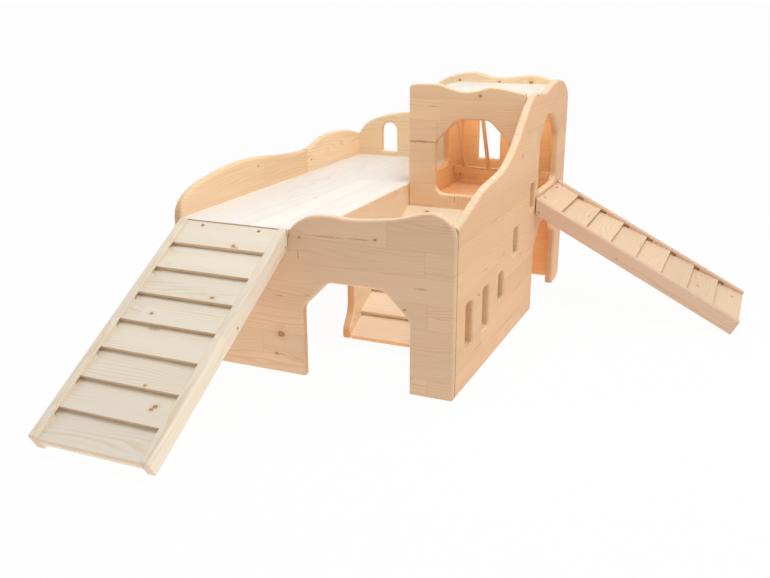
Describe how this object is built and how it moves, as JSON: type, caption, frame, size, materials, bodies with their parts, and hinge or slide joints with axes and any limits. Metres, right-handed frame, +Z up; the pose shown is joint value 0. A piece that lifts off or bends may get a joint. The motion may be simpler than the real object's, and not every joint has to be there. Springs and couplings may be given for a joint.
{
  "type": "guinea pig play castle",
  "caption": "Pale timber play castle for guinea pigs: wavy-topped walls with gates and slits, raised deck, roofed tower with hay rack, inner stair and ramps that plug onto the walls.",
  "frame": {"origin": "middle of the whole footprint on the floor, both ramps included", "axes": "+Y from the front wall to the back wall, +X from the left wall to the right wall, +Z up"},
  "size_m": [1.0732, 1.3278, 0.5336],
  "materials": {
    "panel_wood": "sanded, untreated spruce",
    "ramp_wood": "sanded, untreated spruce",
    "batten_wood": "planed spruce",
    "dowel_wood": "turned beech",
    "screw_steel": "zinc plated"
  },
  "bodies": {
    "castle": {"front_wall": "panel_wood", "left_wall_front": "panel_wood", "left_wall_rear": "panel_wood", "back_wall": "panel_wood", "right_wall": "panel_wood", "tower_front_wall": "panel_wood", "tower_side_wall": "panel_wood", "main_deck": "panel_wood", "tower_floor": "panel_wood", "tower_roof": "panel_wood", "stair_side_panel": "panel_wood", "deck_ledger_left": "batten_wood", "deck_ledger_back": "batten_wood", "floor_ledger_front": "batten_wood", "floor_ledger_back": "batten_wood", "rack_lower_batten": "batten_wood", "rack_upper_batten": "batten_wood", "stair_stringer_left": "batten_wood", "stair_stringer_right": "batten_wood", "rack_dowels": "dowel_wood", "stair_tread_1": "ramp_wood", "stair_tread_2": "ramp_wood", "stair_tread_3": "ramp_wood", "stair_tread_4": "ramp_wood", "stair_tread_5": "ramp_wood", "stair_tread_6": "ramp_wood", "corner_dowels": "dowel_wood", "batten_screws": "screw_steel"},
    "left_ramp": {"left_ramp_rail_a": "ramp_wood", "left_ramp_rail_b": "ramp_wood", "left_ramp_hanger_batten": "batten_wood", "left_ramp_middle_batten": "batten_wood", "left_ramp_foot_batten": "batten_wood", "left_ramp_plug_dowels": "dowel_wood", "left_ramp_screws": "screw_steel", "left_ramp_tread_1": "ramp_wood", "left_ramp_tread_2": "ramp_wood", "left_ramp_tread_3": "ramp_wood", "left_ramp_tread_4": "ramp_wood", "left_ramp_tread_5": "ramp_wood", "left_ramp_tread_6": "ramp_wood", "left_ramp_tread_7": "ramp_wood", "left_ramp_tread_8": "ramp_wood"},
    "right_ramp": {"right_ramp_rail_a": "ramp_wood", "right_ramp_rail_b": "ramp_wood", "right_ramp_hanger_batten": "batten_wood", "right_ramp_middle_batten": "batten_wood", "right_ramp_foot_batten": "batten_wood", "right_ramp_plug_dowels": "dowel_wood", "right_ramp_screws": "screw_steel", "right_ramp_tread_1": "ramp_wood", "right_ramp_tread_2": "ramp_wood", "right_ramp_tread_3": "ramp_wood", "right_ramp_tread_4": "ramp_wood", "right_ramp_tread_5": "ramp_wood", "right_ramp_tread_6": "ramp_wood", "right_ramp_tread_7": "ramp_wood", "right_ramp_tread_8": "ramp_wood"}
  },
  "joints": [
    {"name": "left_ramp_pull", "type": "slide", "parent": "castle", "child": "left_ramp", "axis": [0, -1, 0], "range_m": [0, 0.06]},
    {"name": "right_ramp_pull", "type": "slide", "parent": "castle", "child": "right_ramp", "axis": [1, 0, 0], "range_m": [0, 0.06]}
  ]
}
